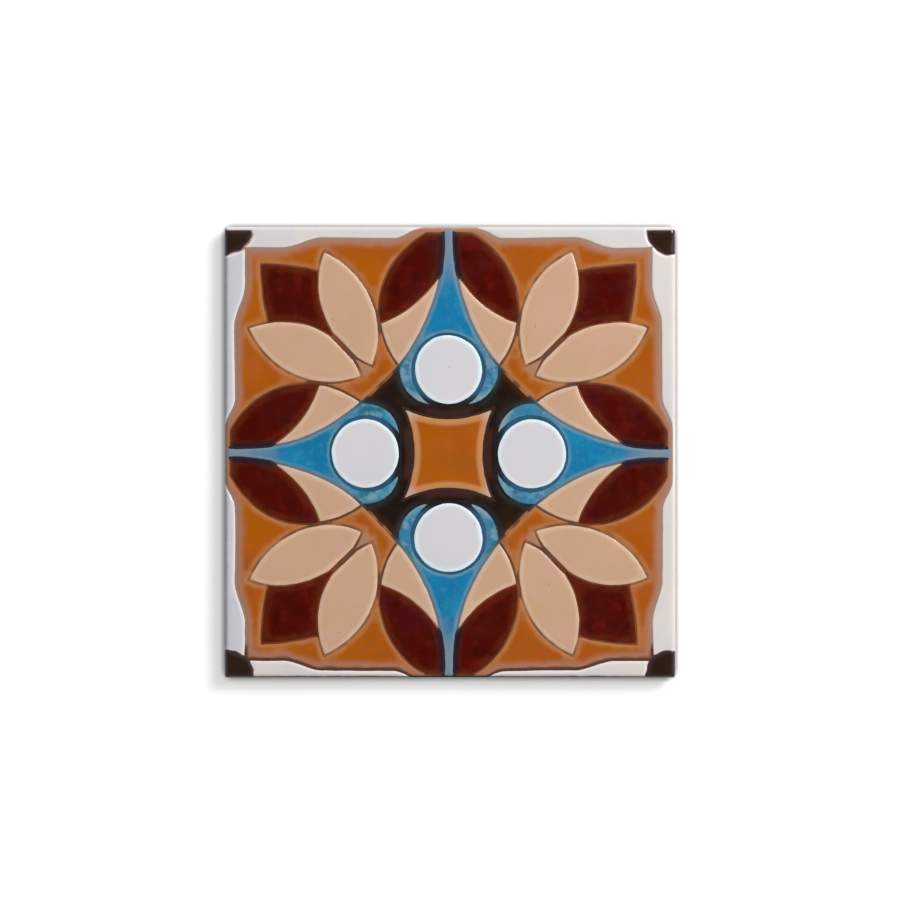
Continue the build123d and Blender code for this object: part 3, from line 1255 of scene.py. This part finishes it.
def floor_material():
    """Pale paper for what the camera and the gloss see, dimmed near the tile by ambient occlusion as a
    painted contact shadow, dull for what it lights, clear from below.
    """
    material = bpy.data.materials.new("floor")
    nodes = Nodes(material)
    nodes.tree.nodes.clear()
    path = nodes.add("LightPath", {})
    seen = nodes.math("MAXIMUM", path["Is Camera Ray"], path["Is Glossy Ray"])
    # Painted contact shadow: ambient occlusion dims the paper colour and the glow near the tile.
    openness_for_painted_shadow = nodes.add("AmbientOcclusion", {"Distance": FLOOR_SHADE_REACH})["AO"]
    levels = [
        nodes.between(openness_for_painted_shadow, 0.55, 1.0, 0.1 * level, level, "LINEAR")
        for level in (FLOOR_PAPER, FLOOR_GLOW)
    ]
    paper = nodes.add("BsdfDiffuse", {"Color": levels[0]})[0]
    glow = nodes.add("Emission", {"Strength": levels[1]})[0]
    bright = nodes.add("AddShader", {0: paper, 1: glow})[0]
    dull = nodes.add("BsdfDiffuse", {"Color": FLOOR_DULL})[0]
    choice = nodes.add("MixShader", {0: seen, 1: dull, 2: bright})[0]
    backfacing = nodes.add("NewGeometry", {})["Backfacing"]
    clear = nodes.add("BsdfTransparent", {})[0]
    side = nodes.add("MixShader", {0: backfacing, 1: choice, 2: clear})[0]
    nodes.add("OutputMaterial", {"Surface": side})
    return material


def add_floor():
    """Pale floor that keeps the tile's shadow, with a painted contact shadow along the tile's foot,
    open under the tile.
    """
    mesh = bpy.data.meshes.new("floor")
    opening = (HALF_SIDE - BACK_SETBACK - FLOOR_UNDERLAP) * MM
    signs = ((-1, -1), (1, -1), (1, 1), (-1, 1))
    corners = [(x * reach, y * reach, 0) for reach in (opening, FLOOR_REACH) for x, y in signs]
    sides = [(k, k + 4, (k + 1) % 4 + 4, (k + 1) % 4) for k in range(4)]
    mesh.from_pydata(corners, [], sides)
    mesh.materials.append(floor_material())
    floor = in_scene("floor", mesh)


def add_key_light():
    """Large soft light from the ornament's upper edge, a little to the right."""
    data = bpy.data.lights.new("key", "AREA")
    data.shape = "SQUARE"
    data.size = KEY_SIZE
    data.energy = KEY_ENERGY
    lamp = in_scene("key", data)
    lamp.location = KEY_PLACE
    lamp.rotation_euler = (-lamp.location).to_track_quat("-Z", "Y").to_euler()


def add_world():
    """White for the camera, brighter towards the light's side for what it lights."""
    world = bpy.data.worlds.new("studio")
    bpy.context.scene.world = world
    nodes = Nodes(world)
    nodes.tree.nodes.clear()

    def blend(share, first, second):
        return nodes.add("Mix", {0: share, 2: first, 3: second})[0]

    direction = nodes.add("TexCoord", {})["Generated"]
    up = nodes.add("SeparateXYZ", {0: direction})["Z"]
    facing = nodes.add("VectorMath", {0: direction, 1: BRIGHT_SIDE}, operation="DOT_PRODUCT")["Value"]
    from_above = nodes.between(facing, -1.0, 1.0, 0.14, 0.8, "LINEAR")
    from_below = nodes.between(facing, -1.0, 1.0, 0.3, 1.5, "LINEAR")
    is_below = nodes.between(up, -0.02, -0.1, 0.0, 1.0, "LINEAR")
    surrounding = blend(is_below, from_above, from_below)
    overhead = nodes.between(up, 0.1, 0.95, 0.6, 0.03, "LINEAR")
    path = nodes.add("LightPath", {})
    ambient = blend(path["Is Glossy Ray"], surrounding, overhead)
    strength = blend(path["Is Camera Ray"], ambient, 1.0)
    background = nodes.add("Background", {"Strength": strength})[0]
    nodes.add("OutputWorld", {"Surface": background})


add_floor()
add_key_light()
add_world()
bpy.context.scene.view_settings.view_transform = "Standard"
